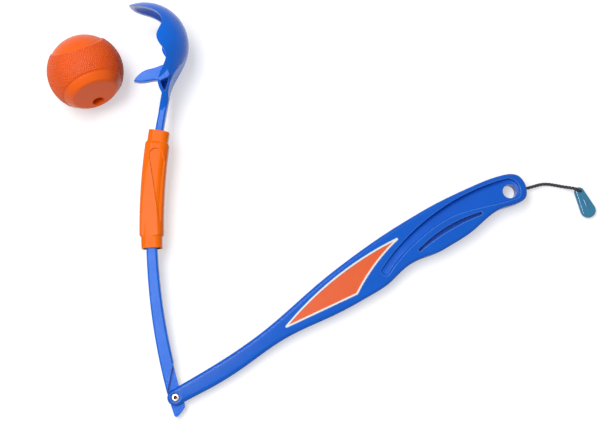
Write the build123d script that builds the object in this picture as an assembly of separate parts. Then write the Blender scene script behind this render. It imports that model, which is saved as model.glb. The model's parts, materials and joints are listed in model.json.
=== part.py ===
from build123d import *
from math import cos, degrees, radians, sin, sqrt, tan
import os

os.makedirs("parts", exist_ok=True)

# Folding dog ball thrower, lying half folded beside its ball. Lengths are in mm, angles in degrees.
# The launcher is drawn flat in its own plane: the hinge pin is at the origin and Z is the pin's axis.
# The last section tilts that plane until cup, hinge and grip rest on the floor.

# Fits and overruns
OVERRUN = 5.0
RUNNING_CLEARANCE = 0.05
SIDE_CLEARANCE = 0.3
SWING_CLEARANCE = 0.4
SLEEVE_PASS_CLEARANCE = 1.0

# Handle
HANDLE_LENGTH = 338.0
HANDLE_ANGLE = 30.7
GRIP_WIDTH = 36.0
GRIP_THICKNESS = 19.0
EAR_RADIUS = 6.7
HINGE_THICKNESS = 13.0
HANDLE_EDGE_RADIUS = 3.0
# Outline from the ears along the upper edge, round the tip and back along the lower edge. Each
# stretch ends where the edge runs level with the handle, apart from the one that ends at the tip.
GRIP_OUTLINE_SHARES = (
    ((0.133, 0.189), (0.274, 0.297), (0.425, 0.564), (0.572, 0.736), (0.737, 0.794)),
    ((0.87, 0.711), (0.955, 0.575), (0.988, 0.42), (0.996, 0.19)),
    ((0.989, -0.04), (0.966, -0.175)),
    ((0.911, -0.08), (0.835, -0.168), (0.74, -0.217)),
    ((0.655, -0.117),),
    ((0.577, -0.25), (0.509, -0.264)),
    ((0.42, -0.225), (0.292, -0.12)),
    ((0.174, -0.203), (0.0858, -0.222)),
)
# Side view: place along the handle and height above its middle plane
RISE_SHARES = ((0.08, 0.684), (0.225, 0.747), (0.423, 0.81), (0.604, 0.863), (0.740, 0.93), (0.837, 1.0))
FALL_SHARES = ((0.837, 1.0), (0.92, 0.97), (0.965, 0.86), (0.99, 0.68), (1.01, 0.42))

# Where the grip rests on the floor
GRIP_REST_SHARE = (0.837, -0.09)

# Thumb grooves in both faces of the grip, and the narrow slots under them
GROOVE_DEPTH = 4.0
GROOVE_TILT = 10.0
GROOVE_FLOOR_RADIUS = 2.2
GROOVE_TOP_SHARES = ((0.578, 0.10), (0.668, 0.422), (0.775, 0.594), (0.888, 0.567), (0.962, 0.43))
GROOVE_END_SHARE = (0.9785, 0.18)
GROOVE_LOW_SHARES = (
    (0.963, -0.083), (0.888, 0.092), (0.793, 0.311), (0.710, 0.269), (0.639, 0.114), (0.589, -0.094))
GROOVE_TAIL_SHARE = (0.5755, -0.017)
SLOT_DEPTH = 6.5
SLOT_TOP_SHARES = ((0.681, 0.075), (0.769, 0.197), (0.862, 0.092))
SLOT_LOW_SHARES = ((0.862, 0.022), (0.763, 0.089), (0.682, 0.014))

# Hanging hole
HANG_HOLE_DIAMETER = 11.6
HANG_HOLE_SHARE = (0.952, 0.161)

# Label on the front of the handle
LABEL_RECESS = 1.0
LABEL_BORDER_WIDTH = 1.4
LABEL_BORDER_RISE = 0.35
LABEL_PANEL_DROP = 0.35
LABEL_TIP_RADIUS = 0.9
LABEL_CORNER_RADIUS = 3.4
LABEL_TAIL_SHARE = (0.3005, 0.086)
LABEL_LOW_SHARE = (0.395, 0.0)
LABEL_CORNER_SHARE = (0.499, -0.092)
LABEL_BACK_SHARE = (0.572, 0.272)
LABEL_TIP_SHARE = (0.668, 0.543)
LABEL_TOP_SHARE = (0.476, 0.505)

# Throwing arm: a gently bent bar whose width shrinks towards the cup
ARM_HEADING = 106.9
ARM_RADIUS = 504.3
ARM_NECK = 249.0
ARM_WIDTH_AT_PIN = 11.2
ARM_WIDTH_AT_NECK = 5.8
ARM_THICKNESS = 13.0
ARM_CHAMFER = 1.4

# Hinge: a tongue on the arm between two ears on the handle
TONGUE_THICKNESS = 4.6
TONGUE_INSET = 0.7
SHOULDER_LEAN = 27.0
CLEVIS_DEPTH = 25.0
TAB_REACH = 15.8
TONGUE_ROOT = 36.0
TAB_CORNER_RADIUS = 1.6
# Outline of the tab past the pin, along the arm and to its left, as shares of the tab's reach
TAB_SHARES = ((-0.88, 0.32), (-0.99, 0.215), (-0.79, -0.10), (-0.60, -0.32), (-0.24, -0.367))
PIN_END_GAP = 0.1
PIN_DIAMETER = 4.5
PIN_HOLLOW = 3.0
PIN_HOLLOW_DEPTH = 5.0
PIN_RIM_DIAMETER = 5.9
PIN_RIM_HEIGHT = 0.9
PIN_HEAD_DIAMETER = 7.8
PIN_HEAD_HEIGHT = 1.2
COUNTERBORE_DIAMETER = 8.4
COUNTERBORE_DEPTH = 1.4

# Cup at the end of the arm
BALL_DIAMETER = 63.5
BALL_PLAY = 0.85
CUP_WALL = 3.4
CUP_SEAT_RADIUS = BALL_DIAMETER / 2 + BALL_PLAY
CUP_OUTER_RADIUS = CUP_SEAT_RADIUS + CUP_WALL
CUP_FROM_NECK_SHARES = (1.0556, 0.7639)
CUP_ALONG_ARM = ARM_NECK + CUP_FROM_NECK_SHARES[0] * CUP_OUTER_RADIUS
CUP_OFFSET = CUP_FROM_NECK_SHARES[1] * CUP_OUTER_RADIUS
NECK_ROUNDING = 7.5
CUP_REST_SHARE = (0.342, 0.066)
# Shares of the cup's outer radius, from the cup's centre
FINGER_SHARES = (
    (-0.44, 0.96), (-0.365, 0.84), (-0.25, 0.79), (0.0, 0.735), (0.242, 0.645),
    (0.383, 0.517), (0.42, 0.39), (0.375, 0.22), (0.315, 0.022), (0.356, -0.11),
    (0.47, -0.265), (0.52, -0.39), (0.487, -0.555), (0.385, -0.77), (0.335, -1.0),
)
RIB_SHARES = ((0.352, -1.08), (0.385, -1.16))
BROW_SHARES = ((1.02, 0.05), (0.865, -0.458), (0.655, -0.82), (0.603, -0.955))
# The mouth's edge runs up the cup's back, so it is drawn at a height and leans from there
MOUTH_EDGE_HEIGHT_SHARE = 0.72
MOUTH_LEAN_SHARE = 0.09
# How far the cup's cone and its rib reach back down the arm from the neck
CUP_FOOT_SHARES = (0.428, 0.667)
CONE_FOOT = ARM_NECK - CUP_FOOT_SHARES[0] * CUP_OUTER_RADIUS
RIB_FOOT = ARM_NECK - CUP_FOOT_SHARES[1] * CUP_OUTER_RADIUS
RIB_INSET = 0.3
# Thumb: a plate in front of the cup's middle plane, as shares of the cup's outer radius
THUMB_TOP_HEIGHT_SHARE = 0.57
THUMB_THICKNESS = 8.0
THUMB_EDGE_ROUNDING = 1.0
THUMB_TIP_SHARE = (-0.2, -0.965)
THUMB_UPPER_SHARES = (
    (-0.168, -0.905), (-0.1, -0.825), (-0.014, -0.755), (0.1, -0.70), (0.22, -0.67), (0.36, -0.62))
THUMB_ROOT_SHARES = ((0.50, -0.56), (0.60, -0.80), (0.46, -1.02))
THUMB_LOWER_SHARES = ((0.29, -0.935), (0.1, -0.968), (-0.06, -0.985))
WINDOW_WEB = 5.0
WINDOW_CORNER_RADIUS = 0.9
WINDOW_SHARES = ((0.383, -0.95), (0.583, -0.847), (0.489, -1.18))

# Sliding lock sleeve, which stops short of the neck
SLEEVE_LENGTH = 97.2
SLEEVE_NECK_GAP = 29.2
SLEEVE_START = ARM_NECK - SLEEVE_LENGTH - SLEEVE_NECK_GAP
SLEEVE_BORE_HEIGHT = ARM_THICKNESS + 2 * SIDE_CLEARANCE
SLEEVE_BORE_WIDTH = 2 * EAR_RADIUS + SLEEVE_PASS_CLEARANCE
SLEEVE_BORE_CORNER = 1.6
COLLAR_WIDTH = 16.8
COLLAR_HEIGHT = 17.6
COLLAR_CORNER = 5.0
COLLAR_LENGTH = 8.6
BODY_WIDTH = 19.6
BODY_HEIGHT = 20.0
BODY_CORNER = 6.6
BODY_SHOULDER = 3.2
# Thumb recess in the sleeve's front: shares of the sleeve's length and of its half width
RECESS_DEPTH = 1.9
RECESS_TILT = 4.9
RIDGE_SHARES = ((0.211, -0.695), (0.778, 0.495))
RECESS_TOP_SHARE = (0.844, -0.01)
RECESS_EDGE_SHARES = ((0.791, -0.62), (0.720, -0.867))
FACET_TILT = 7.0

# Ball. Its caps are given by the way they face and by shares of the ball's radius
BALL_GRAIN_RELIEF = 0.9
BALL_WALL_SHARE = 0.44
BALL_FROM_PIN = (-78.7, 267.4)
FLAT_CAP_AXIS = (0.400, -0.889, 0.224)
FLAT_CAP_START_SHARE = 0.61
FLAT_CAP_HEIGHT_SHARE = 0.772
FLAT_CAP_EDGE_SHARE = 0.126
FLAT_CAP_GROOVE_SHARES = (0.80, 0.615, 0.045)
ROUND_CAP_AXIS = (-0.279, 0.830, 0.483)
ROUND_CAP_START_SHARE = 0.724
BALL_HOLE_DIAMETER = 10.0
BALL_HOLE_OFFSET_SHARE = 0.35

# Wrist cord and its pull
CORD_DIAMETER = 2.8
CORD_HOLE_CLEARANCE = 0.2
CORD_BEND_SHARE = 0.45
# Route from the bottom of the hole in the handle's end to the bottom of the hole in the pull:
# across and up the floor from below the hinge pin, and height above the floor
CORD_ROUTE = (
    (284.0, 171.9, 5.3), (290.3, 173.9, 4.9), (296.1, 175.6, 4.3), (301.6, 177.5, 3.1),
    (307.3, 178.3, 2.1), (314.2, 177.4, 1.6), (321.2, 175.8, 2.4), (326.6, 174.3, 5.4),
    (331.2, 172.9, 7.2), (334.3, 171.8, 5.0), (336.2, 171.1, 2.4),
)
PULL_LENGTH = 28.0
PULL_WIDTH = 13.0
PULL_THICKNESS = 5.2
PULL_EDGE_RADIUS = 2.2
PULL_HEADING = -66.7
PULL_FROM_PIN = (334.1, 171.8)
# Along the pull from its hole, and half width
PULL_TOP_SHARE = -0.12
PULL_NECK_SHARES = (0.0, 0.32)
PULL_FLARE_SHARES = (0.62, 0.5)
PULL_END_SHARE = 0.86
PULL_RIDGE_SHARES = (0.16, 0.46, 0.76)
PULL_RIDGE_RADIUS = 1.7
PULL_RIDGE_RISE = 0.9


def face_of(*lines):
    return make_face(Wire([edge for line in lines for edge in line.edges()]))


ARM_BEND_ANGLE = radians(ARM_HEADING - 90.0)
ARM_CENTRE = Vector(ARM_RADIUS * cos(ARM_BEND_ANGLE), ARM_RADIUS * sin(ARM_BEND_ANGLE), 0)


def arm_angle(distance):
    """Direction, seen from the bend's centre, of the place at a distance from the pin."""
    return ARM_HEADING + 90.0 - degrees(distance / ARM_RADIUS)


def along_arm(distance, side=0.0):
    """Point beside the arm's bent centre line, at a distance from the pin."""
    angle = radians(arm_angle(distance))
    reach = ARM_RADIUS + side
    return ARM_CENTRE + Vector(reach * cos(angle), reach * sin(angle), 0)


def arm_half_width(distance):
    share = distance / ARM_NECK
    return (ARM_WIDTH_AT_PIN + (ARM_WIDTH_AT_NECK - ARM_WIDTH_AT_PIN) * share) / 2


CUP_CENTRE = along_arm(CUP_ALONG_ARM, CUP_OFFSET)
HINGE_FRAME = Rot(0, 0, ARM_HEADING)


def on_cup(share):
    return CUP_CENTRE + Vector(share[0], share[1], 0) * CUP_OUTER_RADIUS


def on_handle(share):
    return Vector(share[0] * HANDLE_LENGTH, share[1] * GRIP_WIDTH, 0)


def on_tab(share):
    return (HINGE_FRAME * Pos(share[0] * TAB_REACH, share[1] * TAB_REACH, 0)).position


def on_sleeve(share, rise=0.0):
    place = along_arm(SLEEVE_START + share[0] * SLEEVE_LENGTH, share[1] * BODY_WIDTH / 2)
    return place + Vector(0, 0, rise)


def slab(profile, bottom, top):
    """Straight block over a profile drawn in the launcher's plane."""
    return Pos(0, 0, bottom) * extrude(profile, top - bottom, dir=(0, 0, 1))


def rod(start, end, radius):
    """Round rod from one point to another."""
    upright = Cylinder(radius, (end - start).length, align=(Align.CENTER, Align.CENTER, Align.MIN))
    return Plane(start, z_dir=end - start) * upright


def handle_plan():
    """Outline of the handle seen along the pin."""
    ear = Vector(0, EAR_RADIUS, 0)
    level = Vector(1, 0, 0)
    headings = [level, Vector(0, -1, 0)] + [-level] * (len(GRIP_OUTLINE_SHARES) - 2)
    start, heading = ear, level
    lines = []
    for shares, next_heading in zip(GRIP_OUTLINE_SHARES, headings):
        points = [start] + [on_handle(share) for share in shares]
        if len(lines) == len(headings) - 1:
            points.append(-ear)
        lines.append(Spline(*points, tangents=[heading, next_heading]))
        start, heading = points[-1], next_heading
    return face_of(*lines, ThreePointArc(-ear, (-EAR_RADIUS, 0, 0), ear))


def handle_side():
    """Outline of the handle seen from its lower edge."""
    def line(shares, start, end, side):
        points = [(along * HANDLE_LENGTH, 0, side * rise * GRIP_THICKNESS / 2) for along, rise in shares]
        return Spline(*points, tangents=[(start[0], 0, side * start[1]), (end[0], 0, side * end[1])])
    lines = [line(RISE_SHARES, (1, 0), (1, 0), side) for side in (1, -1)]
    lines += [line(FALL_SHARES, (1, 0), (0.5, -1), side) for side in (1, -1)]
    ends = [Line(lines[2] @ 1, lines[3] @ 1)]
    back = -2 * EAR_RADIUS
    for start in (lines[0] @ 0, lines[1] @ 0):
        ends.append(Line(start, (back, 0, start.Z)))
    ends.append(Line(ends[1] @ 1, ends[2] @ 1))
    return face_of(*lines, *ends)


def handle_body():
    """Plan and side view crossed, with the long edges rounded."""
    plan = slab(handle_plan(), -GRIP_THICKNESS, GRIP_THICKNESS)
    side = Pos(0, 2 * GRIP_WIDTH, 0) * extrude(handle_side(), 4 * GRIP_WIDTH, dir=(0, -1, 0))
    body = plan & side
    rims = [edge for edge in body.edges() if abs(edge.center().Z) > TONGUE_THICKNESS]
    return fillet(rims, HANDLE_EDGE_RADIUS)


def label_outline():
    tail = on_handle(LABEL_TAIL_SHARE)
    corner = on_handle(LABEL_CORNER_SHARE)
    tip = on_handle(LABEL_TIP_SHARE)
    face = face_of(
        ThreePointArc(tail, on_handle(LABEL_LOW_SHARE), corner),
        ThreePointArc(corner, on_handle(LABEL_BACK_SHARE), tip),
        ThreePointArc(tip, on_handle(LABEL_TOP_SHARE), tail))
    face = fillet(face.vertices().sort_by_distance(corner)[0], LABEL_CORNER_RADIUS)
    ends = [face.vertices().sort_by_distance(tail)[0], face.vertices().sort_by_distance(tip)[0]]
    return fillet(ends, LABEL_TIP_RADIUS)


def label_layer(front, outline, low, high):
    """Layer of the handle's front under an outline, between two depths below the surface."""
    column = slab(outline, 0, GRIP_THICKNESS)
    return (column & (Pos(0, 0, -low) * front)) - Pos(0, 0, -high) * front


def label_layers(body):
    """Recess for the label, its raised border and its panel."""
    outline = label_outline()
    inner = offset(outline, -LABEL_BORDER_WIDTH)
    front = body & slab(offset(outline, LABEL_BORDER_WIDTH), 0, GRIP_THICKNESS)
    recess = label_layer(front, outline, -OVERRUN, LABEL_RECESS)
    border = label_layer(front, outline - inner, -LABEL_BORDER_RISE, LABEL_RECESS)
    panel = label_layer(front, inner, LABEL_PANEL_DROP, LABEL_RECESS)
    return recess, border, panel


def groove_tool():
    """Cutter for one thumb groove, its floor a little deeper under the upper edge."""
    top = [on_handle(share) for share in GROOVE_TOP_SHARES]
    low = [on_handle(share) for share in GROOVE_LOW_SHARES]
    outline = face_of(
        Spline(*top),
        ThreePointArc(top[-1], on_handle(GROOVE_END_SHARE), low[0]),
        Spline(*low),
        ThreePointArc(low[-1], on_handle(GROOVE_TAIL_SHARE), top[0]))
    block = extrude(outline, GRIP_THICKNESS, dir=(0, 0, 1))
    floor = block.faces().sort_by(Axis.Z)[0]
    block = fillet(floor.edges(), GROOVE_FLOOR_RADIUS)
    pivot = on_handle(HANG_HOLE_SHARE)
    level = GRIP_THICKNESS / 2 - GROOVE_DEPTH
    return Pos(0, pivot.Y, level) * Rot(-GROOVE_TILT, 0, 0) * Pos(0, -pivot.Y, 0) * block


def slot_tool():
    top = [on_handle(share) for share in SLOT_TOP_SHARES]
    low = [on_handle(share) for share in SLOT_LOW_SHARES]
    outline = face_of(
        ThreePointArc(*top), Line(top[-1], low[0]),
        ThreePointArc(*low), Line(low[-1], top[0]))
    return slab(outline, GRIP_THICKNESS / 2 - SLOT_DEPTH, GRIP_THICKNESS)


def make_handle(body, recess, cord_hole):
    both_faces = [groove_tool(), slot_tool()]
    sink = Pos(0, 0, HINGE_THICKNESS / 2) * Cylinder(COUNTERBORE_DIAMETER / 2, 2 * COUNTERBORE_DEPTH)
    both_faces.append(sink)
    centre = on_handle(HANG_HOLE_SHARE)
    cuts = both_faces + [mirror(tool, Plane.XY) for tool in both_faces] + [
        recess, cord_hole,
        Pos(centre.X, centre.Y, 0) * Cylinder(HANG_HOLE_DIAMETER / 2, GRIP_THICKNESS + OVERRUN),
        Cylinder(CLEVIS_DEPTH, TONGUE_THICKNESS + 2 * SIDE_CLEARANCE),
        Cylinder(PIN_DIAMETER / 2 + RUNNING_CLEARANCE, HINGE_THICKNESS + OVERRUN)]
    return body - cuts


def arm_edge(side, end, inset=0.0):
    """Three places on one long edge of the arm, side 1 away from the bend's centre, -1 towards it."""
    stations = (0, end / 2, end)
    return [along_arm(station, side * (arm_half_width(station) - inset)) for station in stations]


def arm_bar():
    left = arm_edge(1, ARM_NECK)
    right = arm_edge(-1, ARM_NECK)
    outline = face_of(
        ThreePointArc(*left), Line(left[-1], right[-1]),
        ThreePointArc(*reversed(right)), Line(right[0], left[0]))
    bar = slab(outline, -ARM_THICKNESS / 2, ARM_THICKNESS / 2)
    long_edges = bar.edges().filter_by(GeomType.CIRCLE)
    return chamfer(long_edges, ARM_CHAMFER)


def shoulder_cut():
    """What the ears swing through: all that lies on the pin's side of the slanted shoulder."""
    swing = EAR_RADIUS + SWING_CLEARANCE
    reach = 4 * CLEVIS_DEPTH
    beyond = Pos(0, swing, 0) * Rectangle(reach, reach, align=(Align.CENTER, Align.MAX))
    return slab(HINGE_FRAME * Rot(0, 0, -SHOULDER_LEAN) * beyond, -ARM_THICKNESS, ARM_THICKNESS)


def tongue():
    """Flat tongue between the ears, and the tab that shows past the pin."""
    left = arm_edge(1, TONGUE_ROOT)
    right = arm_edge(-1, TONGUE_ROOT, TONGUE_INSET)
    tab = [on_tab(share) for share in TAB_SHARES]
    outline = face_of(
        ThreePointArc(*left), Line(left[-1], right[-1]), ThreePointArc(*reversed(right)),
        Polyline(right[0], *reversed(tab), left[0]))
    corners = [outline.vertices().sort_by_distance(point)[0] for point in tab]
    outline = fillet(corners, TAB_CORNER_RADIUS)
    return slab(outline, -TONGUE_THICKNESS / 2, TONGUE_THICKNESS / 2)


def cup_cone():
    """Cone that runs from the cup's sphere down to the neck, tangent to both."""
    foot = along_arm(CONE_FOOT) - CUP_CENTRE
    distance = foot.length - NECK_ROUNDING
    slope = (CUP_OUTER_RADIUS - NECK_ROUNDING) / distance
    cosine = sqrt(1 - slope ** 2)
    start = CUP_OUTER_RADIUS * slope
    height = distance + NECK_ROUNDING * slope - start
    cone = Cone(CUP_OUTER_RADIUS * cosine, NECK_ROUNDING * cosine, height,
                align=(Align.CENTER, Align.CENTER, Align.MIN))
    return Plane(CUP_CENTRE, z_dir=foot) * Pos(0, 0, start) * cone


def rib_line(side):
    """The arm's edge where the rib grows out of it, a little inside the bar."""
    stations = (ARM_NECK, (ARM_NECK + RIB_FOOT) / 2, RIB_FOOT)
    return [along_arm(station, side * (arm_half_width(station) - RIB_INSET)) for station in stations]


def side_cut(shares, side, lean=0.0):
    """Everything beside the head, past a line through shares that ends on the arm."""
    rib = rib_line(side)
    points = [on_cup(share) for share in shares] + rib[:1]
    away = Vector(-side * 2 * CUP_OUTER_RADIUS, 0, 0)
    outline = face_of(
        Spline(*points), ThreePointArc(*rib),
        Polyline(rib[-1], rib[-1] + away, points[0] + away, points[0]))
    reach = 2 * CUP_OUTER_RADIUS
    height = MOUTH_EDGE_HEIGHT_SHARE * CUP_OUTER_RADIUS if lean else 0.0
    drop = reach + height
    foot = Pos(0, lean * drop, height - drop) * outline
    return extrude(foot, 2 * reach * sqrt(1 + lean ** 2), dir=(0, -lean, 1))


def thumb():
    """Fin under the ball: a plate whose front is level with the cup's foot."""
    tip = on_cup(THUMB_TIP_SHARE)
    roots = [on_cup(share) for share in THUMB_ROOT_SHARES]
    upper = [on_cup(share) for share in THUMB_UPPER_SHARES]
    lower = [on_cup(share) for share in THUMB_LOWER_SHARES]
    outline = face_of(Spline(tip, *upper, roots[0]), Polyline(*roots), Spline(roots[-1], *lower, tip))
    top = THUMB_TOP_HEIGHT_SHARE * CUP_OUTER_RADIUS
    plate = slab(outline, top - THUMB_THICKNESS, top)
    lower_wall = plate.faces().sort_by_distance(lower[1] + Vector(0, 0, top - THUMB_THICKNESS / 2))[0]
    long_rims = [edge for edge in lower_wall.edges() if edge.length > THUMB_THICKNESS + OVERRUN]
    return fillet(long_rims, THUMB_EDGE_ROUNDING)


def window_pockets():
    """Three-cornered pocket in each face between thumb and rib, with a web left between them."""
    corners = [on_cup(share) for share in WINDOW_SHARES]
    outline = face_of(Polyline(*corners, corners[0]))
    outline = fillet(outline.vertices(), WINDOW_CORNER_RADIUS)
    pocket = slab(outline, WINDOW_WEB / 2, CUP_OUTER_RADIUS)
    return pocket + mirror(pocket, Plane.XY)


def make_arm():
    middle = Pos(*CUP_CENTRE)
    head = middle * Sphere(CUP_OUTER_RADIUS) + cup_cone()
    head -= side_cut(BROW_SHARES, -1)
    head -= side_cut(FINGER_SHARES + RIB_SHARES, 1, MOUTH_LEAN_SHARE)
    head += thumb()
    head -= middle * Sphere(CUP_SEAT_RADIUS)
    head -= window_pockets()
    arm = arm_bar() - shoulder_cut() + tongue() + head
    return arm - Cylinder(PIN_DIAMETER / 2 + RUNNING_CLEARANCE, ARM_THICKNESS)


def make_rivet():
    """Tubular rivet: shank, rolled hollow rim in front, flat head behind, both sunk in the ears."""
    seat = HINGE_THICKNESS / 2 - COUNTERBORE_DEPTH + PIN_END_GAP
    rim = Pos(0, 0, seat + PIN_RIM_HEIGHT / 2) * Cylinder(PIN_RIM_DIAMETER / 2, PIN_RIM_HEIGHT)
    rim = fillet(rim.edges().filter_by(GeomType.CIRCLE).sort_by(Axis.Z)[-1], PIN_RIM_HEIGHT / 2)
    head = Pos(0, 0, -seat - PIN_HEAD_HEIGHT / 2) * Cylinder(PIN_HEAD_DIAMETER / 2, PIN_HEAD_HEIGHT)
    head = fillet(head.edges().filter_by(GeomType.CIRCLE).sort_by(Axis.Z)[0], PIN_HEAD_HEIGHT / 2)
    rivet = Cylinder(PIN_DIAMETER / 2, 2 * seat) + rim + head
    top = seat + PIN_RIM_HEIGHT
    hollow = Cylinder(PIN_HOLLOW / 2, PIN_HOLLOW_DEPTH, align=(Align.CENTER, Align.CENTER, Align.MAX))
    return rivet - Pos(0, 0, top) * hollow


def bent_tube(start, length, profile):
    """Profile swept along the arm's bend."""
    facing = radians(arm_angle(start + length))
    plane = Plane(
        ARM_CENTRE, x_dir=(cos(facing), sin(facing), 0), z_dir=(sin(facing), -cos(facing), 0))
    section = plane * Pos(ARM_RADIUS, 0, 0) * profile
    return revolve(section, Axis(ARM_CENTRE, (0, 0, 1)), degrees(length / ARM_RADIUS))


def thumb_recess():
    """Teardrop recess in the sleeve's front, deepest along its slanted ridge."""
    low, high = [on_sleeve(share) for share in RIDGE_SHARES]
    edges = [on_sleeve(share) for share in RECESS_EDGE_SHARES]
    outline = face_of(
        Line(low, high), ThreePointArc(high, on_sleeve(RECESS_TOP_SHARE), edges[0]),
        Spline(*edges, low))
    block = slab(outline, 0, BODY_HEIGHT)
    floor = Plane(on_sleeve((0.5, 0.0), BODY_HEIGHT / 2 - RECESS_DEPTH), x_dir=high - low)
    centred = (Align.CENTER, Align.CENTER, Align.MAX)
    under = Box(SLEEVE_LENGTH, 2 * BODY_WIDTH, BODY_HEIGHT, align=centred)
    return block - floor * Rot(RECESS_TILT, 0, 0) * under


def ridge_facet():
    """Slanted flat beside the recess's ridge."""
    low, high = [on_sleeve(share, BODY_HEIGHT / 2) for share in RIDGE_SHARES]
    ridge = Plane(low, x_dir=high - low)
    above = (Align.CENTER, Align.MIN, Align.MIN)
    over = Box(2 * SLEEVE_LENGTH, 2 * BODY_WIDTH, BODY_HEIGHT, align=above)
    return ridge * Rot(-FACET_TILT, 0, 0) * over


def make_sleeve():
    collar = RectangleRounded(COLLAR_WIDTH, COLLAR_HEIGHT, COLLAR_CORNER)
    bore = RectangleRounded(SLEEVE_BORE_WIDTH, SLEEVE_BORE_HEIGHT, SLEEVE_BORE_CORNER)
    middle = bent_tube(
        SLEEVE_START + COLLAR_LENGTH, SLEEVE_LENGTH - 2 * COLLAR_LENGTH,
        RectangleRounded(BODY_WIDTH, BODY_HEIGHT, BODY_CORNER))
    ends = middle.faces().filter_by(GeomType.PLANE).sort_by(lambda face: face.center().Y)
    rims = ends[0].edges() + ends[-1].edges()
    middle = fillet(rims, BODY_SHOULDER) - thumb_recess() - ridge_facet()
    sleeve = middle + bent_tube(SLEEVE_START, SLEEVE_LENGTH, collar)
    return sleeve - bent_tube(SLEEVE_START - OVERRUN, SLEEVE_LENGTH + 2 * OVERRUN, bore)


def beyond_cap(axis, share):
    """Everything farther along an axis from the ball's centre than a share of its radius."""
    width = 2 * BALL_DIAMETER
    block = Box(width, width, BALL_DIAMETER, align=(Align.CENTER, Align.CENTER, Align.MIN))
    return Plane((0, 0, 0), z_dir=axis) * Pos(0, 0, share * BALL_DIAMETER / 2) * block


def make_ball():
    """Hollow ball with a grained belt between two smooth caps, one of them cut flat round a hole."""
    radius = BALL_DIAMETER / 2
    belt = Sphere(radius)
    belt -= beyond_cap(FLAT_CAP_AXIS, FLAT_CAP_START_SHARE)
    belt -= beyond_cap(ROUND_CAP_AXIS, ROUND_CAP_START_SHARE)
    core = Sphere(radius - BALL_GRAIN_RELIEF) - beyond_cap(FLAT_CAP_AXIS, FLAT_CAP_HEIGHT_SHARE)
    core = fillet(core.edges().filter_by(GeomType.CIRCLE), FLAT_CAP_EDGE_SHARE * radius)
    cap = Plane((0, 0, 0), z_dir=FLAT_CAP_AXIS)
    ring, height, depth = [share * radius for share in FLAT_CAP_GROOVE_SHARES]
    groove = cap * Pos(0, 0, height) * Torus(ring, depth)
    downhill = cap.to_local_coords(Vector(0, 0, -1))
    hole_place = Vector(downhill.X, downhill.Y, 0).normalized() * BALL_HOLE_OFFSET_SHARE * radius
    bore = BALL_HOLE_DIAMETER / 2
    hole = Cylinder(bore, radius, align=(Align.CENTER, Align.CENTER, Align.MIN))
    ball = belt + core - groove - Sphere(radius * (1 - BALL_WALL_SHARE))
    return ball - cap * Pos(*hole_place) * hole


def cord_radii(points):
    radii = []
    for before, corner, after in zip(points, points[1:], points[2:]):
        turn = radians((corner - before).get_angle(after - corner))
        run = min((corner - before).length, (after - corner).length)
        radii.append(CORD_BEND_SHARE * run / tan(turn / 2))
    return radii


def make_cord(points):
    radii = cord_radii(points)
    path = FilletPolyline(*points, radius=radii)
    section = Plane(points[0], z_dir=points[1] - points[0]) * Circle(CORD_DIAMETER / 2)
    cord = sweep(section, path)
    print("cord length", round(path.length, 1), "radii", [round(radius, 1) for radius in radii])
    print("cord volume over section times length", round(cord.volume / section.area / path.length, 4))
    return cord


def make_pull(points):
    """Flat flared tab with a raised ridge, lying on the floor, and the hole that holds the cord."""
    neck_half = PULL_NECK_SHARES[1] * PULL_WIDTH
    neck = (PULL_NECK_SHARES[0] * PULL_LENGTH, neck_half)
    flare = (PULL_FLARE_SHARES[0] * PULL_LENGTH, PULL_FLARE_SHARES[1] * PULL_WIDTH)
    neck_back = (neck[0], -neck[1])
    flare_back = (flare[0], -flare[1])
    outline = face_of(
        ThreePointArc(neck_back, (PULL_TOP_SHARE * PULL_LENGTH, 0), neck), Line(neck, flare),
        ThreePointArc(flare, (PULL_END_SHARE * PULL_LENGTH, 0), flare_back), Line(flare_back, neck_back))
    tab = slab(outline, 0, PULL_THICKNESS)
    top, bottom = tab.faces().sort_by(Axis.Z)[-1], tab.faces().sort_by(Axis.Z)[0]
    tab = fillet(top.edges() + bottom.edges(), PULL_EDGE_RADIUS)
    start, middle, end = [share * PULL_LENGTH for share in PULL_RIDGE_SHARES]
    spindle = face_of(
        ThreePointArc((start, 0), (middle, PULL_RIDGE_RADIUS), (end, 0)), Line((end, 0), (start, 0)))
    ridge_height = PULL_THICKNESS + PULL_RIDGE_RISE - PULL_RIDGE_RADIUS
    tab += Pos(0, 0, ridge_height) * revolve(spindle, Axis.X)
    tab = Pos(*PULL_FROM_PIN, 0) * Rot(0, 0, PULL_HEADING) * tab
    bore = CORD_DIAMETER / 2 + CORD_HOLE_CLEARANCE
    tab -= rod(points[-3], points[-2], bore) + rod(points[-2], points[-1], bore)
    return tab - Pos(*points[-2]) * Sphere(bore)


def lay_on(hinge, grip, cup):
    """Place that tilts the launcher until three of its points lie on the floor."""
    upward = (grip - hinge).cross(cup - hinge).normalized()
    normal = Vector(-upward.X, -upward.Y, upward.Z)
    lean = 1 / (1 + normal.Z)
    sideways = Vector(1 - normal.X ** 2 * lean, -normal.X * normal.Y * lean, -normal.X)
    return Plane((0, 0, -upward.dot(hinge)), x_dir=sideways, z_dir=normal).location


def launcher_place():
    turn = Rot(0, 0, HANDLE_ANGLE)
    hinge = (turn * Pos(0, HANDLE_EDGE_RADIUS - EAR_RADIUS, -HINGE_THICKNESS / 2)).position
    rest = on_handle(GRIP_REST_SHARE)
    grip = (turn * Pos(rest.X, rest.Y, -GRIP_THICKNESS / 2)).position
    lobe = on_cup(CUP_REST_SHARE)
    drop = sqrt(CUP_OUTER_RADIUS ** 2 - (lobe - CUP_CENTRE).length ** 2)
    return lay_on(hinge, grip, lobe - Vector(0, 0, drop))


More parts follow.
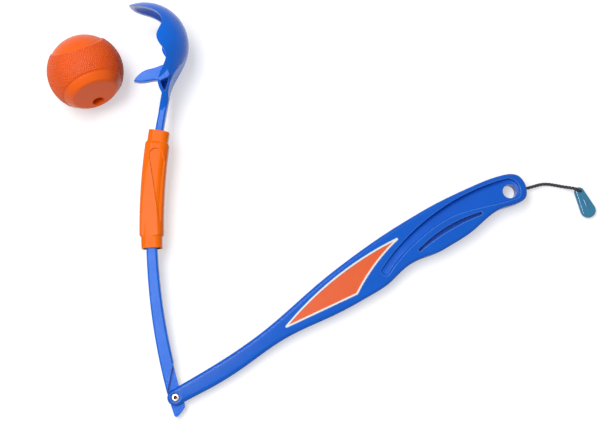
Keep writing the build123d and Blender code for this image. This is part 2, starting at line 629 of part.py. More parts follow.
on_floor = launcher_place()
handle_place = on_floor * Rot(0, 0, HANDLE_ANGLE)
route = [Vector(*point) for point in CORD_ROUTE]
cord_mouth, cord_exit = [(handle_place.inverse() * Pos(*point)).position for point in route[:2]]
cord_hole = rod(cord_mouth, cord_exit + (cord_exit - cord_mouth), (CORD_DIAMETER + CORD_HOLE_CLEARANCE) / 2)
grip_body = handle_body()
recess, border, panel = label_layers(grip_body)
ball_place = Pos(*BALL_FROM_PIN, BALL_DIAMETER / 2)

parts = {
    "claw_arm": on_floor * make_arm(),
    "hinge_rivet": on_floor * make_rivet(),
    "lock_sleeve": on_floor * make_sleeve(),
    "handle": handle_place * make_handle(grip_body, recess, cord_hole),
    "label_border": handle_place * border,
    "label_panel": handle_place * panel,
    "ball": ball_place * make_ball(),
    "wrist_cord": make_cord(route),
    "cord_pull": make_pull(route),
}
cord_names = ("wrist_cord", "cord_pull")

# The origin is the middle of the bottom of everything but the cord and its pull
box = Compound([solid for name, solid in parts.items() if name not in cord_names]).bounding_box()
to_origin = Pos(-box.center().X, -box.center().Y, -box.min.Z)
for name, solid in parts.items():
    export_step(to_origin * solid, f"parts/{name}.step")
print("box", box.size)
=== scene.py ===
import json
import logging
import math
import random
from dataclasses import dataclass
from enum import Enum
from typing import Any, Sequence

import bmesh
import bpy
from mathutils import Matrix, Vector
from mathutils.kdtree import KDTree


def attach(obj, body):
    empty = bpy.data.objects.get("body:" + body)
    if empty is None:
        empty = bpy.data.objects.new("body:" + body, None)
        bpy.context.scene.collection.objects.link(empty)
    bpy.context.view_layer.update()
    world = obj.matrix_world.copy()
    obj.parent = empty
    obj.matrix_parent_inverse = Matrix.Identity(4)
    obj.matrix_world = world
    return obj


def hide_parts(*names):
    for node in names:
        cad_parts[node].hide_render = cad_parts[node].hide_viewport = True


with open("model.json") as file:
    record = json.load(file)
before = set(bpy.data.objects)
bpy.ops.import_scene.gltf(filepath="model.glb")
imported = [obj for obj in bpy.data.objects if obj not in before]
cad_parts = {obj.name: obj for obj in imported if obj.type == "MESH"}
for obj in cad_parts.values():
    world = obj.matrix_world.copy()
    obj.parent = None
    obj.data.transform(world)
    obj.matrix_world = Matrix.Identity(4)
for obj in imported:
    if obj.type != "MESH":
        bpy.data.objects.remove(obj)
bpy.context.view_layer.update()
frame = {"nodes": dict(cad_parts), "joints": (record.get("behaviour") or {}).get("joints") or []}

LOG = logging.getLogger("ball_thrower")
MM = 0.001
MERGE_DISTANCE = 0.002 * MM
HEXAGON_SHARE = 0.866  # area that one of many evenly packed points has, in squares of their spacing
SHARP_ANGLE = math.radians(28)
# Numbers of a colour mix node's factor, its two colours and its result
MIX_FACTOR, MIX_LOW, MIX_HIGH, MIX_RESULT = 0, 6, 7, 2
# Nearly all of a noise texture lies between these two values
NOISE_LOW, NOISE_HIGH = 0.3, 0.7


class Body(Enum):
    """The three bodies that the two joints move."""

    LAUNCHER = "launcher"
    GRIP = "grip"
    SLEEVE = "sleeve"


class Slot(Enum):
    """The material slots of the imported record."""

    LAUNCHER = "launcher_plastic"
    GRIP = "grip_plastic"
    RIVET = "rivet_steel"
    SLEEVE = "sleeve_plastic"
    LABEL_RIM = "label_rim"
    LABEL_FIELD = "label_field"
    BALL = "ball_rubber"
    CORD = "cord_fibre"
    PULL = "pull_plastic"


def linear(code: str) -> tuple[float, float, float, float]:
    """Turn an sRGB hex colour into a linear one.

    Args:
        code: the colour as "#rrggbb".

    Returns:
        Red, green, blue and an alpha of 1.
    """
    shares = [int(code[at:at + 2], 16) / 255 for at in (1, 3, 5)]
    bent = [c / 12.92 if c <= 0.04045 else ((c + 0.055) / 1.055) ** 2.4 for c in shares]
    return bent[0], bent[1], bent[2], 1.0


def per_metre(size_mm: float) -> float:
    """Give the texture scale whose pattern repeats about every so many millimetres.

    Args:
        size_mm: the size of one repeat.

    Returns:
        The scale per metre.
    """
    return 1.0 / (size_mm * MM)


def add(tree: bpy.types.NodeTree, kind: str, inputs: dict[Any, Any] | None = None,
        **settings: Any) -> bpy.types.Node:
    """Add one node with its settings, its values and its links.

    Args:
        tree: the material's node tree.
        kind: the node's type name.
        inputs: a value or an output socket for each input, by name or number.
        settings: properties of the node itself.

    Returns:
        The new node.
    """
    node = tree.nodes.new(kind)
    for name, value in settings.items():
        setattr(node, name, value)
    for key, value in (inputs or {}).items():
        if isinstance(value, bpy.types.NodeSocket):
            tree.links.new(value, node.inputs[key])
        else:
            node.inputs[key].default_value = value
    return node


def blank_material(name: str) -> tuple[bpy.types.Material, bpy.types.NodeTree]:
    """Start a node material with an empty tree.

    Args:
        name: the material's name.

    Returns:
        The material and its tree.
    """
    material = bpy.data.materials.new(name)
    material.use_nodes = True
    material.node_tree.nodes.clear()
    return material, material.node_tree


def blend_colours(tree: bpy.types.NodeTree, factor: bpy.types.NodeSocket, low: Any,
                  high: Any) -> bpy.types.NodeSocket:
    """Mix two colours by a factor.

    Args:
        tree: the material's node tree.
        factor: the socket that is 0 for the first colour and 1 for the second.
        low: the first colour, linear, or a socket that gives it.
        high: the second colour, linear, or a socket that gives it.

    Returns:
        The mixed colour's socket.
    """
    mix = add(tree, "ShaderNodeMix", {MIX_FACTOR: factor, MIX_LOW: low, MIX_HIGH: high}, data_type="RGBA")
    return mix.outputs[MIX_RESULT]


def noise(tree: bpy.types.NodeTree, place: bpy.types.NodeSocket, size_mm: float,
          detail: float) -> bpy.types.NodeSocket:
    """Add a noise texture.

    Args:
        tree: the material's node tree.
        place: the coordinates' socket.
        size_mm: the size of one patch.
        detail: how many finer layers it has.

    Returns:
        The texture's socket, about 0.5 in the middle.
    """
    return add(tree, "ShaderNodeTexNoise",
               {"Vector": place, "Scale": per_metre(size_mm), "Detail": detail}).outputs[0]


def vary(tree: bpy.types.NodeTree, texture: bpy.types.NodeSocket, low: float,
         high: float) -> bpy.types.NodeSocket:
    """Turn a noise texture into a value that runs from one end to another.

    Args:
        tree: the material's node tree.
        texture: the noise texture's socket.
        low: the value where the texture is low.
        high: the value where it is high.

    Returns:
        The value's socket.
    """
    return add(tree, "ShaderNodeMapRange", {
        "Value": texture, "From Min": NOISE_LOW, "From Max": NOISE_HIGH, "To Min": low,
        "To Max": high}).outputs[0]


def relief_skin(tree: bpy.types.NodeTree, height: bpy.types.NodeSocket, depth_mm: float,
                normal: bpy.types.NodeSocket | None = None) -> bpy.types.NodeSocket:
    """Add a bump.

    Args:
        tree: the material's node tree.
        height: the texture's socket.
        depth_mm: how deep the texture reaches.
        normal: the normal that it starts from, or None for the mesh's own.

    Returns:
        The new normal's socket.
    """
    inputs = {"Strength": 1.0, "Distance": depth_mm * MM, "Height": height}
    if normal is not None:
        inputs["Normal"] = normal
    return add(tree, "ShaderNodeBump", inputs).outputs[0]


def finish_tree(tree: bpy.types.NodeTree, shader: bpy.types.NodeSocket) -> None:
    """Join the last shader to the material's surface.

    Args:
        tree: the material's node tree.
        shader: the shader's output.
    """
    add(tree, "ShaderNodeOutputMaterial", {"Surface": shader})


@dataclass(frozen=True)
class MouldedPlastic:
    """Polypropylene, injection moulded in a finely blasted steel tool.

    It gives a satin face with broad soft highlights, a faint cloudiness of the
    pigment, and a painted highlight that makes its edges paler.
    """

    name: str
    colour: str
    deep: str
    # pale colour painted along the edges as a highlight
    edge_highlight: str
    roughness: float = 0.22
    roughness_spread: float = 0.08
    mottle_mm: float = 24.0
    grain_mm: float = 0.8  # the blasted grain is finer, drawn as coarse as it needs to show
    grain_depth_mm: float = 0.012
    edge_mm: float = 0.5
    edge_highlight_share: float = 0.5
    # Cosine between the rounded and the plain normal, where the painted edge highlight begins and where
    # it is full
    edge_highlight_cosines: tuple[float, float] = (0.995, 0.88)
    ior: float = 1.49
    gloss_share: float = 0.5  # below 0.5 where the blasted skin swallows part of the reflection

    def material(self) -> bpy.types.Material:
        """Build the plastic's node tree.

        Returns:
            The material.
        """
        material, tree = blank_material(self.name)
        place = add(tree, "ShaderNodeTexCoord").outputs["Object"]
        cloud = noise(tree, place, self.mottle_mm, 3.0)
        pigment = blend_colours(tree, cloud, linear(self.deep), linear(self.colour))
        rounded = add(tree, "ShaderNodeBevel", {"Radius": self.edge_mm * MM}, samples=6)
        plain = add(tree, "ShaderNodeNewGeometry")
        agree = add(tree, "ShaderNodeVectorMath",
                    {0: rounded.outputs[0], 1: plain.outputs["Normal"]}, operation="DOT_PRODUCT")
        # Painted highlight: edges turn paler where the rounded normal parts from the plain one
        edge = add(tree, "ShaderNodeMapRange", {
            "Value": agree.outputs["Value"], "From Min": self.edge_highlight_cosines[0],
            "From Max": self.edge_highlight_cosines[1], "To Min": 0.0, "To Max": self.edge_highlight_share})
        colour = blend_colours(tree, edge.outputs[0], pigment, linear(self.edge_highlight))
        haze = noise(tree, place, self.mottle_mm / 3, 5.0)
        half = self.roughness_spread / 2
        rough = vary(tree, haze, self.roughness - half, self.roughness + half)
        grain = noise(tree, place, self.grain_mm, 2.0)
        bump = relief_skin(tree, grain, self.grain_depth_mm, rounded.outputs[0])
        shader = add(tree, "ShaderNodeBsdfPrincipled", {
            "Base Color": colour, "Roughness": rough, "IOR": self.ior,
            "Specular IOR Level": self.gloss_share, "Normal": bump})
        finish_tree(tree, shader.outputs[0])
        return material


@dataclass(frozen=True)
class GrainedRubber:
    """Natural rubber, compression moulded, pebbled on the belt and smooth on both caps.

    It gives dull broad highlights on the caps, and painted shade that darkens
    the gaps between the pebbles. The pebbles themselves are in the mesh, which
    gives their height in a point attribute.
    """

    relief: str
    name: str = "moulded_orange_rubber"
    colour: str = "#fd6a04"
    deep: str = "#f45a02"
    # colour of the painted shade in the gaps between the pebbles
    gap: str = "#bb3205"
    gap_shade_share: float = 0.6
    roughness: float = 0.40
    roughness_spread: float = 0.10
    gloss_share: float = 0.3  # below 0.5 where the matt skin swallows part of the reflection
    ior: float = 1.52
    cloud_mm: float = 18.0
    skin_mm: float = 0.6
    skin_depth_mm: float = 0.012

    def material(self) -> bpy.types.Material:
        """Build the rubber's node tree.

        Returns:
            The material.
        """
        material, tree = blank_material(self.name)
        place = add(tree, "ShaderNodeTexCoord").outputs["Object"]
        relief = add(tree, "ShaderNodeAttribute", attribute_name=self.relief).outputs["Fac"]
        cloud = noise(tree, place, self.cloud_mm, 3.0)
        base = blend_colours(tree, cloud, linear(self.deep), linear(self.colour))
        # Painted shade: the lower the pebbles' relief, the nearer the colour goes to the gap colour
        shade = add(tree, "ShaderNodeMapRange", {
            "Value": relief, "From Min": 0.0, "From Max": 1.0, "To Min": self.gap_shade_share, "To Max": 0.0})
        colour = blend_colours(tree, shade.outputs[0], base, linear(self.gap))
        skin = relief_skin(tree, noise(tree, place, self.skin_mm, 2.0), self.skin_depth_mm)
        half = self.roughness_spread / 2
        rough = vary(tree, cloud, self.roughness - half, self.roughness + half)
        shader = add(tree, "ShaderNodeBsdfPrincipled", {
            "Base Color": colour, "Roughness": rough, "IOR": self.ior,
            "Specular IOR Level": self.gloss_share, "Normal": skin})
        finish_tree(tree, shader.outputs[0])
        return material


@dataclass(frozen=True)
class PlatedSteel:
    """Nickel-plated steel, rolled over in a press.

    It gives a mirror with fine ring marks from the rolling punch, and a dark
    reddish brown down the hollow, taken to be rust where the plating ends.
    """

    centre: Vector
    name: str = "nickel_plated_steel"
    colour: str = "#c9c4be"
    stained: str = "#8f8a86"
    rust: str = "#3d1d12"
    roughness_range: tuple[float, float] = (0.14, 0.30)
    ring_mm: float = 0.45
    rings_per_repeat: float = 20.0  # a wave texture's rings where another texture has one repeat
    ring_waver: float = 0.6
    ring_depth_mm: float = 0.006
    stain_mm: float = 1.6
    # Height over the pin's middle, where the brown begins and where it is full
    hollow_from_mm: tuple[float, float] = (5.3, 4.6)

    def material(self) -> bpy.types.Material:
        """Build the metal's node tree.

        Returns:
            The material.
        """
        material, tree = blank_material(self.name)
        place = add(tree, "ShaderNodeTexCoord").outputs["Object"]
        local = add(tree, "ShaderNodeMapping", {"Vector": place, "Location": -self.centre})
        rings = add(tree, "ShaderNodeTexWave", {
            "Vector": local.outputs[0], "Scale": per_metre(self.ring_mm) / self.rings_per_repeat,
            "Distortion": self.ring_waver, "Detail": 2.0}, wave_type="RINGS", rings_direction="Z")
        marks = relief_skin(tree, rings.outputs["Fac"], self.ring_depth_mm)
        stain = noise(tree, place, self.stain_mm, 4.0)
        plated = blend_colours(tree, stain, linear(self.stained), linear(self.colour))
        height = add(tree, "ShaderNodeSeparateXYZ", {0: local.outputs[0]})
        far = add(tree, "ShaderNodeMath", {0: height.outputs["Z"]}, operation="ABSOLUTE")
        down = add(tree, "ShaderNodeMapRange", {
            "Value": far.outputs[0], "From Min": self.hollow_from_mm[0] * MM,
            "From Max": self.hollow_from_mm[1] * MM, "To Min": 0.0, "To Max": 1.0})
        colour = blend_colours(tree, down.outputs[0], plated, linear(self.rust))
        rough = vary(tree, stain, *self.roughness_range)
        shader = add(tree, "ShaderNodeBsdfPrincipled", {
            "Base Color": colour, "Metallic": 1.0, "Roughness": rough, "Normal": marks})
        finish_tree(tree, shader.outputs[0])
        return material


@dataclass(frozen=True)
class TwistedFibre:
    """Nylon cord of three strands, spun and twisted.

    It gives a near black with a faint sheen and fine filaments along each strand.
    """

    name: str = "twisted_black_nylon"
    colour: str = "#0d0d10"
    worn: str = "#33333a"
    roughness: float = 0.6
    filament_mm: float = 0.35
    filament_depth_mm: float = 0.05
    sheen: float = 0.25
    sheen_roughness: float = 0.4

    def material(self) -> bpy.types.Material:
        """Build the cord's node tree.

        Returns:
            The material.
        """
        material, tree = blank_material(self.name)
        place = add(tree, "ShaderNodeTexCoord").outputs["Object"]
        thin = noise(tree, place, self.filament_mm, 3.0)
        colour = blend_colours(tree, thin, linear(self.colour), linear(self.worn))
        fuzz = relief_skin(tree, thin, self.filament_depth_mm)
        shader = add(tree, "ShaderNodeBsdfPrincipled", {
            "Base Color": colour, "Roughness": self.roughness, "Sheen Weight": self.sheen,
            "Sheen Roughness": self.sheen_roughness, "Normal": fuzz})
        finish_tree(tree, shader.outputs[0])
        return material


@dataclass(frozen=True)
class ClearTintedPlastic:
    """Polycarbonate, tinted teal and injection moulded with a gloss skin.

    It gives a deep clear colour with sharp highlights, paler where it is thin.
    """

    name: str = "clear_teal_polycarbonate"
    colour: str = "#0090bf"
    deep: str = "#0078a4"
    roughness: float = 0.12
    ior: float = 1.585
    clear_share: float = 0.3
    flow_mm: float = 7.0
    flow_depth_mm: float = 0.05

    def material(self) -> bpy.types.Material:
        """Build the tinted plastic's node tree.

        Returns:
            The material.
        """
        material, tree = blank_material(self.name)
        place = add(tree, "ShaderNodeTexCoord").outputs["Object"]
        flow = noise(tree, place, self.flow_mm, 2.0)
        colour = blend_colours(tree, flow, linear(self.deep), linear(self.colour))
        wave = relief_skin(tree, flow, self.flow_depth_mm)
        shader = add(tree, "ShaderNodeBsdfPrincipled", {
            "Base Color": colour, "Roughness": self.roughness, "IOR": self.ior,
            "Transmission Weight": self.clear_share, "Normal": wave})
        finish_tree(tree, shader.outputs[0])
        return material


@dataclass(frozen=True)
class PrintedFilm:
    """Vinyl film, screen printed and rolled on.

    It gives a flat even colour with a faint orange-peel skin and soft gloss.
    """

    name: str
    colour: str
    deep: str
    roughness: float = 0.34
    roughness_spread: float = 0.08
    ink_mm: float = 14.0
    peel_mm: float = 1.6
    peel_depth_mm: float = 0.02

    def material(self) -> bpy.types.Material:
        """Build the film's node tree.

        Returns:
            The material.
        """
        material, tree = blank_material(self.name)
        place = add(tree, "ShaderNodeTexCoord").outputs["Object"]
        ink = noise(tree, place, self.ink_mm, 4.0)
        colour = blend_colours(tree, ink, linear(self.deep), linear(self.colour))
        peel = noise(tree, place, self.peel_mm, 1.0)
        half = self.roughness_spread / 2
        rough = vary(tree, peel, self.roughness - half, self.roughness + half)
        shader = add(tree, "ShaderNodeBsdfPrincipled", {
            "Base Color": colour, "Roughness": rough,
            "Normal": relief_skin(tree, peel, self.peel_depth_mm)})
        finish_tree(tree, shader.outputs[0])
        return material


def smooth_step(share: float) -> float:
    """Ease from 0 to 1 as a share runs from 0 to 1.

    Args:
        share: the share, held at 0 and 1 outside them.

    Returns:
        The eased share.
    """
    held = min(max(share, 0.0), 1.0)
    return held * held * (3 - 2 * held)


def link_mesh(name: str, mesh: bpy.types.Mesh) -> bpy.types.Object:
    """Make an object of a mesh, at the origin, in the scene.

    Args:
        name: the piece's name.
        mesh: its mesh, with its place in its points.

    Returns:
        The new object.
    """
    piece = bpy.data.objects.new(name, mesh)
    bpy.context.scene.collection.objects.link(piece)
    return piece


def smooth_with_creases(form: bmesh.types.BMesh, angle: float = SHARP_ANGLE) -> None:
    """Shade faces smooth and keep edges past an angle sharp.

    Args:
        form: the mesh to shade.
        angle: the angle between two faces, in radians, past which their edge stays sharp.
    """
    for face in form.faces:
        face.smooth = True
    for edge in form.edges:
        edge.smooth = not (edge.is_manifold and edge.calc_face_angle() > angle)


def dressed_copy(node: str, name: str) -> bpy.types.Object:
    """Copy a CAD node's mesh with its points merged and its shading smoothed.

    Args:
        node: the CAD node's name.
        name: the new piece's name.

    Returns:
        The new piece, at the origin.
    """
    form = bmesh.new()
    form.from_mesh(frame["nodes"][node].data)
    bmesh.ops.remove_doubles(form, verts=form.verts, dist=MERGE_DISTANCE)
    bmesh.ops.dissolve_degenerate(form, edges=form.edges, dist=MERGE_DISTANCE)
    smooth_with_creases(form)
    mesh = bpy.data.meshes.new(name)
    form.to_mesh(mesh)
    form.free()
    for layer in [a.name for a in mesh.attributes if a.name == "custom_normal"]:
        mesh.attributes.remove(mesh.attributes[layer])
    piece = link_mesh(name, mesh)
    weighted = piece.modifiers.new("even_shading", "WEIGHTED_NORMAL")
    weighted.keep_sharp = True
    return piece


def settle(piece: bpy.types.Object, material: bpy.types.Material, body: Body, slot: Slot,
           *nodes: str) -> bpy.types.Object:
    """Give a piece its finish, its body and the nodes that it stands for.

    Args:
        piece: the finished piece.
        material: its material.
        body: the body that it rides on.
        slot: the record's slot for the piece; not used.
        nodes: the CAD nodes that it replaces.

    Returns:
        The same piece.
    """
    piece.data.materials.clear()
    piece.data.materials.append(material)
    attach(piece, body.value)
    if nodes:
        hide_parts(*nodes)
    LOG.info("%s: %d faces, rides on %s", piece.name, len(piece.data.polygons), body.value)
    return piece


# The fourth colour of each plastic is its painted edge highlight
BLUE_LAUNCHER = MouldedPlastic(
    "blue_polypropylene_launcher", "#0070ea", "#0064d8", "#8eb7eb", gloss_share=0.2)
BLUE_GRIP = MouldedPlastic(
    "blue_polypropylene_grip", "#0064d8", "#0058c6", "#8eb7eb", edge_mm=1.2, gloss_share=0.2)
ORANGE_SLEEVE = MouldedPlastic(
    "orange_polypropylene_sleeve", "#fd7408", "#f76a04", "#ffa24a", edge_mm=0.9, gloss_share=0.08)


@dataclass
class Launcher:
    """The claw and its arm in one moulding, and the rivet that carries the handle."""

    pin: Vector

    def build(self) -> list[bpy.types.Object]:
        """Dress the arm and the rivet.

        Returns:
            Both pieces.
        """
        arm = dressed_copy("claw_arm", "claw_arm_moulding")
        settle(arm, BLUE_LAUNCHER.material(), Body.LAUNCHER, Slot.LAUNCHER, "claw_arm")
        rivet = dressed_copy("hinge_rivet", "hinge_tube_rivet")
        settle(rivet, PlatedSteel(self.pin).material(), Body.LAUNCHER, Slot.RIVET, "hinge_rivet")
        return [arm, rivet]


@dataclass
class Grip:
    """The handle with its thumb grooves and its label."""

    def build(self) -> list[bpy.types.Object]:
        """Dress the handle and the two layers of its label.

        Returns:
            The handle, the label's rim and its field.
        """
        handle = dressed_copy("handle", "handle_moulding")
        settle(handle, BLUE_GRIP.material(), Body.GRIP, Slot.GRIP, "handle")
        rim = dressed_copy("label_border", "label_rim_print")
        white = PrintedFilm("white_vinyl_rim", "#f4f3f0", "#e6e6e6")
        settle(rim, white.material(), Body.GRIP, Slot.LABEL_RIM, "label_border")
        field = dressed_copy("label_panel", "label_field_print")
        orange = PrintedFilm("orange_vinyl_field", "#ec5c08", "#e25206")
        settle(field, orange.material(), Body.GRIP, Slot.LABEL_FIELD, "label_panel")
        return [handle, rim, field]


@dataclass
class LockSleeve:
    """The sleeve that slides along the arm and locks the hinge."""

    def build(self) -> bpy.types.Object:
        """Dress the sleeve.

        Returns:
            The sleeve.
        """
        sleeve = dressed_copy("lock_sleeve", "lock_sleeve_moulding")
        return settle(sleeve, ORANGE_SLEEVE.material(), Body.SLEEVE, Slot.SLEEVE, "lock_sleeve")


@dataclass
class FetchBall:
    """The rubber ball: a pebbled belt between a flat cap with a hole and a round cap.

    The centre, the radius, the way that the caps face and where they start, as
    shares of the radius, repeat the CAD's own values.
    """

    centre: Vector
    flat_axis: Vector
    round_axis: Vector
    radius: float = 0.03175
    cap_shares: tuple[float, float] = (0.61, 0.724)
    ground_share: float = 0.9717
    # How far the belt's rims dip under the caps, and the plain belt under the pebbled one
    rim_dip_share: float = 0.002
    plain_dip_share: float = 0.004
    # A point this much higher than the caps' edge is on the plain belt
    step_share: float = 0.001
    # How far the pebbled belt reaches in under the caps
    overlap_share: float = 0.05
    sphere_subdivisions: int = 6
    edge_cuts: int = 2
    pebble_mm: float = 1.9
    pebble_rise_mm: float = 0.40
    # How far a pebble strays from its even place, and how wide its slope is, as shares of pebble_mm
    pebble_stray_share: float = 0.3
    pebble_slope_share: float = 0.62
    seed: int = 5
    rim_mm: float = 1.3
    crease_degrees: float = 50.0
    relief: str = "pebble_relief"

    def depth_in_belt(self, outward: Vector) -> float:
        """Tell how far inside the belt a direction lies.

        Args:
            outward: the direction from the ball's centre, of length 1.

        Returns:
            The depth as a share of the radius, below 0 on a cap.
        """
        caps = zip((self.flat_axis, self.round_axis), self.cap_shares)
        return min(share - outward.dot(axis) for axis, share in caps)

    def pebble_middles(self) -> KDTree:
        """Scatter the pebbles' middles evenly over the unit sphere.

        Returns:
            The tree that finds the nearest of them.
        """
        gap = self.pebble_mm * MM / self.radius
        count = round(4 * math.pi / (HEXAGON_SHARE * gap * gap))
        chance = random.Random(self.seed)
        middles = KDTree(count)
        for number in range(count):
            height = 1 - 2 * (number + 0.5) / count
            turn = number * math.pi * (3 - math.sqrt(5))
            around = math.sqrt(1 - height * height)
            stray = self.pebble_stray_share
            nudge = Vector([chance.uniform(-stray, stray) * gap for _ in range(3)])
            place = Vector((around * math.cos(turn), around * math.sin(turn), height)) + nudge
            middles.insert(place.normalized(), number)
        middles.balance()
        return middles

    def belt(self) -> bpy.types.Mesh:
        """Model the belt with its pebbles, sloping down to the caps at both rims.

        Returns:
            The belt's mesh, with the height of its pebbles as a point attribute.
        """
        form = bmesh.new()
        bmesh.ops.create_icosphere(form, subdivisions=self.sphere_subdivisions, radius=1.0)
        outside = [vertex for vertex in form.verts if self.depth_in_belt(vertex.co) < -self.overlap_share]
        bmesh.ops.delete(form, geom=outside, context="VERTS")
        bmesh.ops.subdivide_edges(form, edges=form.edges, cuts=self.edge_cuts, use_grid_fill=True)
        bmesh.ops.triangulate(form, faces=form.faces)
        middles = self.pebble_middles()
        relief = form.verts.layers.float.new(self.relief)
        rim = self.rim_mm * MM / self.radius
        low = self.pebble_rise_mm * MM / self.radius
        for vertex in form.verts:
            outward = vertex.co.normalized()
            near, far = [found[2] for found in middles.find_n(outward, 2)]
            crown = smooth_step(
                (far - near) * self.radius / (self.pebble_slope_share * self.pebble_mm * MM))
            slope = smooth_step(self.depth_in_belt(outward) / rim)
            vertex[relief] = 1.0 - slope * (1.0 - crown)
            rise = 1.0 - low * (1.0 - crown) - self.ground_share
            height = self.ground_share + slope * rise - self.rim_dip_share * (1 - slope)
            vertex.co = self.centre + outward * self.radius * height
        mesh = bpy.data.meshes.new("belt")
        form.to_mesh(mesh)
        form.free()
        return mesh

    def build(self) -> bpy.types.Object:
        """Lay the pebbled belt over a copy of the CAD's plain one and dress the ball.

        Returns:
            The ball.
        """
        ball = dressed_copy("ball", "fetch_ball_rubber")
        form = bmesh.new()
        form.from_mesh(ball.data)
        relief = form.verts.layers.float.new(self.relief)
        sunk = self.ground_share - self.plain_dip_share
        for vertex in form.verts:
            vertex[relief] = 1.0
            outward = vertex.co - self.centre
            if outward.length > self.radius * (self.ground_share + self.step_share):
                vertex.co = self.centre + outward.normalized() * self.radius * sunk
        belt = self.belt()
        form.from_mesh(belt)
        bpy.data.meshes.remove(belt)
        smooth_with_creases(form, math.radians(self.crease_degrees))
        form.to_mesh(ball.data)
        form.free()
        return settle(ball, GrainedRubber(self.relief).material(), Body.LAUNCHER, Slot.BALL, "ball")


@dataclass
class WristCord:
    """The short cord in the handle's end, twisted of three strands, and its pull."""

    length: float = 0.057
    diameter: float = 0.0028
    strands: int = 3
    strand_radius: float = 0.00068
    strand_offset: float = 0.00072
    pitch: float = 0.0086
    curve_steps: int = 18
    # Route from the bottom of the hole in the handle's end to the bottom of the hole in the pull
    route: tuple[tuple[float, float, float], ...] = (
        (0.19502, 0.01704, 0.00544), (0.20132, 0.01904, 0.00504), (0.20712, 0.02074, 0.00444),
        (0.21262, 0.02264, 0.00324), (0.21832, 0.02344, 0.00224), (0.22522, 0.02254, 0.00174),
        (0.23222, 0.02094, 0.00254), (0.23762, 0.01944, 0.00554), (0.24222, 0.01804, 0.00734),
        (0.24532, 0.01694, 0.00514), (0.24722, 0.01624, 0.00254),
    )

    def centre_line(self) -> list[Vector]:
        """Read the points of the route's smooth spline.

        Returns:
            The points in order from the handle.
        """
        curve = bpy.data.curves.new("cord_route", "CURVE")
        curve.dimensions = "3D"
        spline = curve.splines.new("NURBS")
        spline.points.add(len(self.route) - 1)
        for point, place in zip(spline.points, self.route):
            point.co = (*place, 1.0)
        spline.order_u = 3
        spline.use_endpoint_u = True
        spline.resolution_u = self.curve_steps
        holder = bpy.data.objects.new("cord_route", curve)
        bpy.context.scene.collection.objects.link(holder)
        bpy.context.view_layer.update()
        line = bpy.data.meshes.new_from_object(holder)
        points = [vertex.co.copy() for vertex in line.vertices]
        bpy.data.objects.remove(holder)
        bpy.data.curves.remove(curve)
        bpy.data.meshes.remove(line)
        return points

    def strand(self, line: Sequence[Vector], phase: float) -> bpy.types.Mesh:
        """Wind one strand round the centre line.

        Args:
            line: the centre line's points.
            phase: the strand's first angle round the line, in radians.

        Returns:
            The strand's mesh.
        """
        curve = bpy.data.curves.new("strand", "CURVE")
        curve.dimensions = "3D"
        curve.bevel_depth = self.strand_radius
        curve.bevel_resolution = 3
        curve.use_fill_caps = True
        spline = curve.splines.new("POLY")
        spline.points.add(len(line) - 1)
        travelled = 0.0
        side = Vector((0, 0, 1))
        for at, point in enumerate(line):
            before, after = line[max(at - 1, 0)], line[min(at + 1, len(line) - 1)]
            heading = (after - before).normalized()
            side = (side - heading * side.dot(heading)).normalized()
            across = heading.cross(side)
            travelled += (point - before).length
            angle = phase + 2 * math.pi * travelled / self.pitch
            place = point + self.strand_offset * (side * math.cos(angle) + across * math.sin(angle))
            spline.points[at].co = (*place, 1.0)
        holder = bpy.data.objects.new("strand", curve)
        bpy.context.scene.collection.objects.link(holder)
        bpy.context.view_layer.update()
        mesh = bpy.data.meshes.new_from_object(holder)
        bpy.data.objects.remove(holder)
        bpy.data.curves.remove(curve)
        return mesh

    def build(self) -> list[bpy.types.Object]:
        """Returns:
            The cord and its pull.
        """
        line = self.centre_line()
        form = bmesh.new()
        for number in range(self.strands):
            strand = self.strand(line, 2 * math.pi * number / self.strands)
            form.from_mesh(strand)
            bpy.data.meshes.remove(strand)
        bmesh.ops.remove_doubles(form, verts=form.verts, dist=MERGE_DISTANCE)
        bmesh.ops.recalc_face_normals(form, faces=form.faces)
        smooth_with_creases(form)
        mesh = bpy.data.meshes.new("wrist_cord_strands")
        form.to_mesh(mesh)
        form.free()
        cord = link_mesh("wrist_cord_strands", mesh)
        settle(cord, TwistedFibre().material(), Body.GRIP, Slot.CORD, "wrist_cord")
        pull = dressed_copy("cord_pull", "cord_pull_clear")
        settle(pull, ClearTintedPlastic().material(), Body.GRIP, Slot.PULL, "cord_pull")
        return [cord, pull]


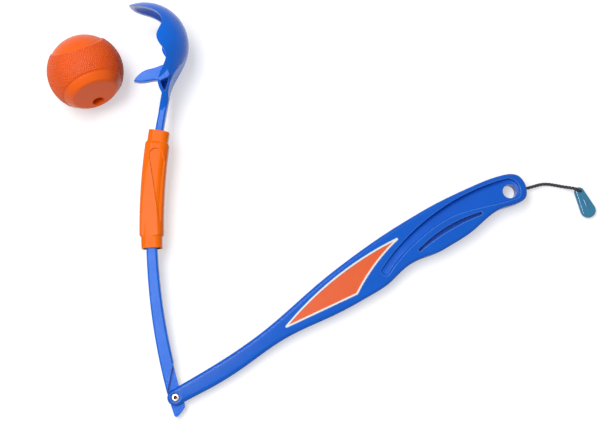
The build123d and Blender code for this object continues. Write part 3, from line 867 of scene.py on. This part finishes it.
@dataclass
class Studio:
    """White floor, a softbox overhead on the left, even light all round and the camera."""

    pin: Vector
    lens_mm: float = 75.0
    sensor_mm: float = 36.0
    tilt_degrees: float = 12.5
    camera_from_pin: tuple[float, float] = (0.10014, -0.07141)
    camera_height: float = 1.02374
    floor_half: float = 4.0
    flat_until: float = -0.174
    paper_share: float = 0.62
    paper_glow: float = 0.50
    light_all_round: float = 0.31
    softbox_place: tuple[float, float, float] = (-0.45, 0.15, 1.6)
    softbox_size: tuple[float, float] = (0.66, 1.1)
    softbox_watts: float = 22.0
    # Distance past the flat part and drop there, for the handle that swings below the arm's hinge
    floor_fall: tuple[tuple[float, float], ...] = (
        (0.0, 0.0), (0.02, 0.0008), (0.05, 0.0042), (0.09, 0.0105), (0.15, 0.0205), (0.40, 0.0600),
        (1.2, 0.12), (4.0, 0.16))

    def floor(self) -> bpy.types.Object:
        """Make the floor: level under the object, falling away in front of it.

        Returns:
            The floor.
        """
        form = bmesh.new()
        profile = [form.verts.new((-self.floor_half, self.floor_half, 0.0))]
        for ahead, drop in self.floor_fall:
            profile.append(form.verts.new((-self.floor_half, self.flat_until - ahead, -drop)))
        edges = [form.edges.new(pair) for pair in zip(profile, profile[1:])]
        made = bmesh.ops.extrude_edge_only(form, edges=edges)["geom"]
        moved = [item for item in made if isinstance(item, bmesh.types.BMVert)]
        bmesh.ops.translate(form, verts=moved, vec=(2 * self.floor_half, 0.0, 0.0))
        bmesh.ops.recalc_face_normals(form, faces=form.faces)
        if sum(face.normal.z for face in form.faces) < 0:
            bmesh.ops.reverse_faces(form, faces=form.faces)
        for face in form.faces:
            face.smooth = True
        mesh = bpy.data.meshes.new("studio_floor")
        form.to_mesh(mesh)
        form.free()
        floor = link_mesh("studio_floor", mesh)
        floor.data.materials.append(self.paper())
        return floor

    def seen_directly(self, tree: bpy.types.NodeTree) -> bpy.types.NodeSocket:
        """Tell rays that see the background from rays that light the object.

        Args:
            tree: the node tree to add to.

        Returns:
            The socket that is 1 for rays from the camera, a reflection or a clear piece, else 0.
        """
        path = add(tree, "ShaderNodeLightPath")
        either = add(tree, "ShaderNodeMath", {
            0: path.outputs["Is Camera Ray"], 1: path.outputs["Is Glossy Ray"]}, operation="MAXIMUM")
        return add(tree, "ShaderNodeMath", {
            0: either.outputs[0], 1: path.outputs["Is Transmission Ray"]}, operation="MAXIMUM").outputs[0]

    def paper(self) -> bpy.types.Material:
        """Build the floor's paper: matt white that keeps soft shadows.

        Returns:
            The material.
        """
        material, tree = blank_material("white_paper_sweep")
        paper = add(tree, "ShaderNodeBsdfDiffuse",
                    {"Color": (self.paper_share, self.paper_share, self.paper_share + 0.01, 1.0)})
        glow = add(tree, "ShaderNodeEmission", {"Color": (1, 1, 1, 1)})
        strength = add(tree, "ShaderNodeMath",
                       {0: self.seen_directly(tree), 1: self.paper_glow}, operation="MULTIPLY")
        tree.links.new(strength.outputs[0], glow.inputs["Strength"])
        both = add(tree, "ShaderNodeAddShader", {0: paper.outputs[0], 1: glow.outputs[0]})
        finish_tree(tree, both.outputs[0])
        return material

    def world(self) -> None:
        """Light the scene from all round, and show white where nothing stands."""
        world = bpy.data.worlds.new("studio_white")
        bpy.context.scene.world = world
        world.use_nodes = True
        tree = world.node_tree
        tree.nodes.clear()
        strength = add(tree, "ShaderNodeMapRange", {
            "Value": self.seen_directly(tree), "From Min": 0.0, "From Max": 1.0,
            "To Min": self.light_all_round, "To Max": 1.0})
        back = add(tree, "ShaderNodeBackground", {"Color": (1, 1, 1, 1), "Strength": strength.outputs[0]})
        add(tree, "ShaderNodeOutputWorld", {"Surface": back.outputs[0]})

    def softbox(self) -> None:
        """Hang the rectangular area light, facing straight down."""
        light = bpy.data.lights.new("left_softbox", "AREA")
        light.shape = "RECTANGLE"
        light.size, light.size_y = self.softbox_size
        light.energy = self.softbox_watts
        holder = bpy.data.objects.new("left_softbox", light)
        holder.location = self.softbox_place
        holder.rotation_euler = Vector((0.0, 0.0, -1.0)).to_track_quat("-Z", "Y").to_euler()
        bpy.context.scene.collection.objects.link(holder)

    def camera(self) -> None:
        """Set the camera at the photograph's angle."""
        data = bpy.data.cameras.new("over_the_table")
        data.lens = self.lens_mm
        data.sensor_width = self.sensor_mm
        data.clip_end = 50.0
        camera = bpy.data.objects.new("over_the_table", data)
        camera.location = (self.pin.x + self.camera_from_pin[0], self.pin.y + self.camera_from_pin[1],
                           self.camera_height)
        camera.rotation_euler = (math.radians(self.tilt_degrees), 0.0, 0.0)
        bpy.context.scene.collection.objects.link(camera)
        bpy.context.scene.camera = camera

    def build(self) -> None:
        """Set up the camera, the floor, the world and the softbox."""
        bpy.context.scene.view_settings.view_transform = "Standard"
        self.camera()
        self.floor()
        self.world()
        self.softbox()


def main() -> None:
    """Build the studio and each sub-assembly."""
    logging.basicConfig(level=logging.INFO, format="%(name)s: %(message)s")
    pin = Vector(frame["joints"][0]["pos_m"])
    Studio(pin).build()
    WristCord().build()
    Launcher(pin).build()
    Grip().build()
    LockSleeve().build()
    FetchBall(
        centre=Vector((-0.16768, 0.11254, 0.03189)),
        flat_axis=Vector((0.400, -0.889, 0.224)).normalized(),
        round_axis=Vector((-0.279, 0.830, 0.483)).normalized()).build()


if __name__ == "__main__":
    main()
